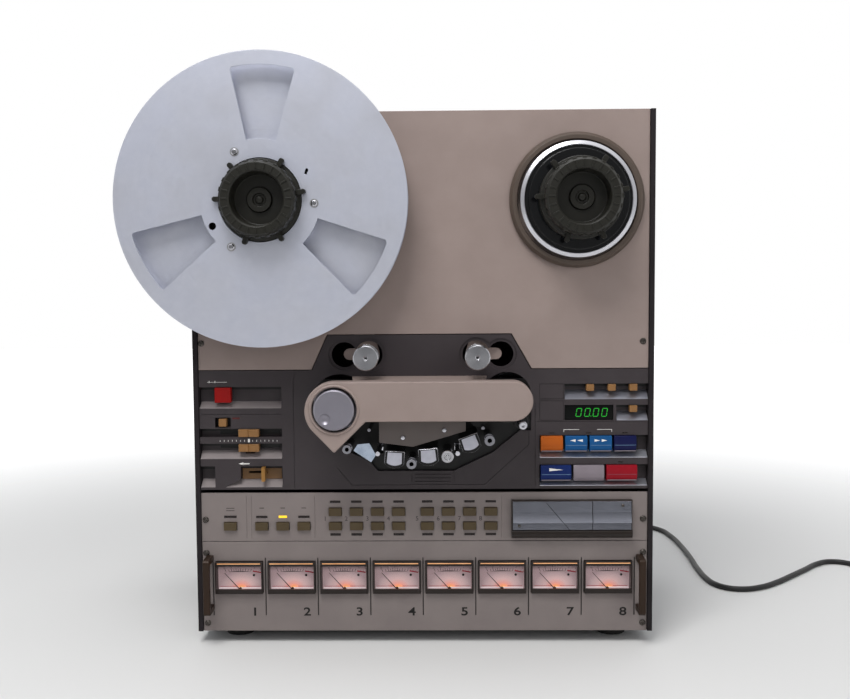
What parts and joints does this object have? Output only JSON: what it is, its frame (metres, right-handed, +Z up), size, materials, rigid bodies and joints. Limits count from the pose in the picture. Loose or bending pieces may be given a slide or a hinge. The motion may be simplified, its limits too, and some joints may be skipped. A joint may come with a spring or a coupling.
{
  "type": "reel to reel tape deck",
  "caption": "Upright reel to reel tape deck with a supply reel, hub adapters, tension arms, head cover, transport keys, track buttons, level meters and a coiled mains cord.",
  "frame": {"origin": "bottom centre of the box of the deck with its reel and knobs, without the mains cord, on the floor under the feet", "axes": "+Z up, the front with the reels and keys faces -Y, +X to the right seen from the front"},
  "size_m": [0.9011, 0.5295, 0.5555],
  "materials": {
    "case_grey": "satin",
    "warm_beige": "satin",
    "panel_brown": "matte",
    "panel_grey": "satin",
    "reel_aluminium": "satin",
    "black_plastic": "satin",
    "black_rubber": "matte",
    "bright_steel": "polished",
    "knob_grey": "satin",
    "tan_plastic": "satin",
    "power_red": "satin",
    "edit_orange": "satin",
    "spool_blue": "satin",
    "pause_navy": "satin",
    "play_blue": "satin",
    "stop_grey": "satin",
    "record_crimson": "satin",
    "handle_brown": "satin",
    "meter_case": "satin",
    "needle_black": "matte",
    "display_black": "gloss",
    "board_green": "satin",
    "motor_steel": "satin"
  },
  "bodies": {
    "deck": {"cabinet_frame": "case_grey", "rear_cover": "case_grey", "upper_panel": "warm_beige", "transport_panel": "panel_brown", "control_panel": "panel_grey", "meter_panel": "panel_grey", "head_cover": "warm_beige", "head_base": "black_plastic", "erase_head": "bright_steel", "record_head": "bright_steel", "playback_head": "bright_steel", "meter_bank": "meter_case", "handle_left": "handle_brown", "handle_right": "handle_brown", "counter_display": "display_black", "supply_motor": "motor_steel", "takeup_motor": "motor_steel", "capstan_motor": "motor_steel", "power_supply_board": "board_green", "strain_relief": "black_rubber", "mains_cord": "black_rubber", "cord_coil": "black_rubber", "mains_plug": "black_rubber"},
    "supply_reel": {"supply_reel_table": "black_plastic", "reel_rear_flange": "reel_aluminium", "reel_front_flange": "reel_aluminium"},
    "takeup_reel_table": {"takeup_reel_table": "black_plastic"},
    "supply_hub_adapter": {"supply_hub_adapter": "black_plastic"},
    "takeup_hub_adapter": {"takeup_hub_adapter": "black_plastic"},
    "supply_tension_arm": {"supply_tension_arm": "warm_beige"},
    "supply_arm_roller": {"supply_arm_roller": "bright_steel"},
    "takeup_tension_arm": {"takeup_tension_arm": "warm_beige"},
    "takeup_arm_roller": {"takeup_arm_roller": "bright_steel"},
    "timing_roller": {"timing_roller": "knob_grey"},
    "capstan": {"capstan": "bright_steel"},
    "pinch_arm": {"pinch_arm": "motor_steel"},
    "pinch_roller": {"pinch_roller": "black_rubber"},
    "power_button": {"power_button": "power_red"},
    "pitch_switch": {"pitch_switch": "tan_plastic"},
    "pitch_fine_slider": {"pitch_fine_slider": "tan_plastic"},
    "pitch_coarse_slider": {"pitch_coarse_slider": "tan_plastic"},
    "counter_buttons": {"counter_buttons": "tan_plastic"},
    "edit_key": {"edit_key": "edit_orange"},
    "rewind_key": {"rewind_key": "spool_blue"},
    "forward_key": {"forward_key": "spool_blue"},
    "pause_key": {"pause_key": "pause_navy"},
    "play_key": {"play_key": "play_blue"},
    "stop_key": {"stop_key": "stop_grey"},
    "record_key": {"record_key": "record_crimson"},
    "track_buttons": {"track_buttons": "tan_plastic"},
    "lifter_lever": {"lifter_lever": "tan_plastic"},
    "tape_lifter": {"tape_lifter": "bright_steel"},
    "needle_1": {"needle_1": "needle_black"},
    "needle_2": {"needle_2": "needle_black"},
    "needle_3": {"needle_3": "needle_black"},
    "needle_4": {"needle_4": "needle_black"},
    "needle_5": {"needle_5": "needle_black"},
    "needle_6": {"needle_6": "needle_black"},
    "needle_7": {"needle_7": "needle_black"},
    "needle_8": {"needle_8": "needle_black"}
  },
  "joints": [
    {"name": "supply_reel_spin", "type": "hinge", "parent": "deck", "child": "supply_reel", "pos_m": [-0.11472, -0.09215, 0.4222], "axis": [0, 1, 0], "continuous": true},
    {"name": "takeup_reel_spin", "type": "hinge", "parent": "deck", "child": "takeup_reel_table", "pos_m": [0.17488, -0.09215, 0.4222], "axis": [0, 1, 0], "continuous": true},
    {"name": "supply_adapter_lock", "type": "hinge", "parent": "supply_reel", "child": "supply_hub_adapter", "pos_m": [-0.11472, -0.09215, 0.4222], "axis": [0, 1, 0], "range_deg": [0, 40]},
    {"name": "takeup_adapter_lock", "type": "hinge", "parent": "takeup_reel_table", "child": "takeup_hub_adapter", "pos_m": [0.17488, -0.09215, 0.4222], "axis": [0, 1, 0], "range_deg": [0, 40]},
    {"name": "supply_arm_swing", "type": "hinge", "parent": "deck", "child": "supply_tension_arm", "pos_m": [-0.03237, -0.09215, 0.32362], "axis": [0, 1, 0], "range_deg": [0, 29], "stiffness_Nm_per_rad": 0.06, "springref_deg": -51.57},
    {"name": "supply_roller_spin", "type": "hinge", "parent": "supply_tension_arm", "child": "supply_arm_roller", "pos_m": [-0.02073, -0.09215, 0.2786], "axis": [0, 1, 0], "continuous": true},
    {"name": "takeup_arm_swing", "type": "hinge", "parent": "deck", "child": "takeup_tension_arm", "pos_m": [0.09252, -0.09215, 0.32362], "axis": [0, -1, 0], "range_deg": [0, 29], "stiffness_Nm_per_rad": 0.06, "springref_deg": -51.57},
    {"name": "takeup_roller_spin", "type": "hinge", "parent": "takeup_tension_arm", "child": "takeup_arm_roller", "pos_m": [0.08088, -0.09215, 0.2786], "axis": [0, 1, 0], "continuous": true},
    {"name": "timing_roller_spin", "type": "hinge", "parent": "deck", "child": "timing_roller", "pos_m": [-0.04843, -0.09215, 0.2335], "axis": [0, 1, 0], "continuous": true},
    {"name": "capstan_spin", "type": "hinge", "parent": "deck", "child": "capstan", "pos_m": [0.12187, -0.09215, 0.2166], "axis": [0, 1, 0], "continuous": true},
    {"name": "pinch_arm_swing", "type": "hinge", "parent": "deck", "child": "pinch_arm", "pos_m": [0.08157, -0.09215, 0.21907], "axis": [0, 1, 0], "range_deg": [0, 2.3], "stiffness_Nm_per_rad": 0.08, "springref_deg": -28.65},
    {"name": "pinch_roller_spin", "type": "hinge", "parent": "pinch_arm", "child": "pinch_roller", "pos_m": [0.10808, -0.09215, 0.237], "axis": [0, 1, 0], "continuous": true},
    {"name": "power_press", "type": "slide", "parent": "deck", "child": "power_button", "axis": [0, 1, 0], "range_m": [0, 0.0025], "stiffness_N_per_m": 300, "springref_m": -0.001},
    {"name": "pitch_switch_press", "type": "slide", "parent": "deck", "child": "pitch_switch", "axis": [0, 1, 0], "range_m": [0, 0.002], "stiffness_N_per_m": 300, "springref_m": -0.001},
    {"name": "pitch_fine_slide", "type": "slide", "parent": "deck", "child": "pitch_fine_slider", "axis": [1, 0, 0], "range_m": [-0.019, 0.019]},
    {"name": "pitch_coarse_slide", "type": "slide", "parent": "deck", "child": "pitch_coarse_slider", "axis": [1, 0, 0], "range_m": [-0.019, 0.019]},
    {"name": "counter_buttons_press", "type": "slide", "parent": "deck", "child": "counter_buttons", "axis": [0, 1, 0], "range_m": [0, 0.0015], "stiffness_N_per_m": 300, "springref_m": -0.001},
    {"name": "edit_press", "type": "slide", "parent": "deck", "child": "edit_key", "axis": [0, 1, 0], "range_m": [0, 0.003], "stiffness_N_per_m": 300, "springref_m": -0.001},
    {"name": "rewind_press", "type": "slide", "parent": "deck", "child": "rewind_key", "axis": [0, 1, 0], "range_m": [0, 0.003], "stiffness_N_per_m": 300, "springref_m": -0.001},
    {"name": "forward_press", "type": "slide", "parent": "deck", "child": "forward_key", "axis": [0, 1, 0], "range_m": [0, 0.003], "stiffness_N_per_m": 300, "springref_m": -0.001},
    {"name": "pause_press", "type": "slide", "parent": "deck", "child": "pause_key", "axis": [0, 1, 0], "range_m": [0, 0.003], "stiffness_N_per_m": 300, "springref_m": -0.001},
    {"name": "play_press", "type": "slide", "parent": "deck", "child": "play_key", "axis": [0, 1, 0], "range_m": [0, 0.003], "stiffness_N_per_m": 300, "springref_m": -0.001},
    {"name": "stop_press", "type": "slide", "parent": "deck", "child": "stop_key", "axis": [0, 1, 0], "range_m": [0, 0.003], "stiffness_N_per_m": 300, "springref_m": -0.001},
    {"name": "record_press", "type": "slide", "parent": "deck", "child": "record_key", "axis": [0, 1, 0], "range_m": [0, 0.003], "stiffness_N_per_m": 300, "springref_m": -0.001},
    {"name": "track_buttons_press", "type": "slide", "parent": "deck", "child": "track_buttons", "axis": [0, 1, 0], "range_m": [0, 0.001], "stiffness_N_per_m": 300, "springref_m": -0.001},
    {"name": "lifter_lever_slide", "type": "slide", "parent": "deck", "child": "lifter_lever", "axis": [-1, 0, 0], "range_m": [0, 0.014], "stiffness_N_per_m": 60, "springref_m": -0.012},
    {"name": "tape_lifter_slide", "type": "slide", "parent": "deck", "child": "tape_lifter", "axis": [0, 0, -1], "range_m": [0, 0.005]},
    {"name": "needle_1_swing", "type": "hinge", "parent": "deck", "child": "needle_1", "pos_m": [-0.14768, -0.09215, 0.0523], "axis": [0, 1, 0], "range_deg": [0, 84], "stiffness_Nm_per_rad": 0.0002, "springref_deg": -5.73},
    {"name": "needle_2_swing", "type": "hinge", "parent": "deck", "child": "needle_2", "pos_m": [-0.09717, -0.09215, 0.0523], "axis": [0, 1, 0], "range_deg": [0, 84], "stiffness_Nm_per_rad": 0.0002, "springref_deg": -5.73},
    {"name": "needle_3_swing", "type": "hinge", "parent": "deck", "child": "needle_3", "pos_m": [-0.04668, -0.09215, 0.0523], "axis": [0, 1, 0], "range_deg": [0, 84], "stiffness_Nm_per_rad": 0.0002, "springref_deg": -5.73},
    {"name": "needle_4_swing", "type": "hinge", "parent": "deck", "child": "needle_4", "pos_m": [0.00382, -0.09215, 0.0523], "axis": [0, 1, 0], "range_deg": [0, 84], "stiffness_Nm_per_rad": 0.0002, "springref_deg": -5.73},
    {"name": "needle_5_swing", "type": "hinge", "parent": "deck", "child": "needle_5", "pos_m": [0.05432, -0.09215, 0.0523], "axis": [0, 1, 0], "range_deg": [0, 84], "stiffness_Nm_per_rad": 0.0002, "springref_deg": -5.73},
    {"name": "needle_6_swing", "type": "hinge", "parent": "deck", "child": "needle_6", "pos_m": [0.10483, -0.09215, 0.0523], "axis": [0, 1, 0], "range_deg": [0, 84], "stiffness_Nm_per_rad": 0.0002, "springref_deg": -5.73},
    {"name": "needle_7_swing", "type": "hinge", "parent": "deck", "child": "needle_7", "pos_m": [0.15532, -0.09215, 0.0523], "axis": [0, 1, 0], "range_deg": [0, 84], "stiffness_Nm_per_rad": 0.0002, "springref_deg": -5.73},
    {"name": "needle_8_swing", "type": "hinge", "parent": "deck", "child": "needle_8", "pos_m": [0.20583, -0.09215, 0.0523], "axis": [0, 1, 0], "range_deg": [0, 84], "stiffness_Nm_per_rad": 0.0002, "springref_deg": -5.73}
  ],
  "couplings": [
    {"joint": "tape_lifter_slide", "follows": "lifter_lever_slide", "ratio": 0.357}
  ]
}
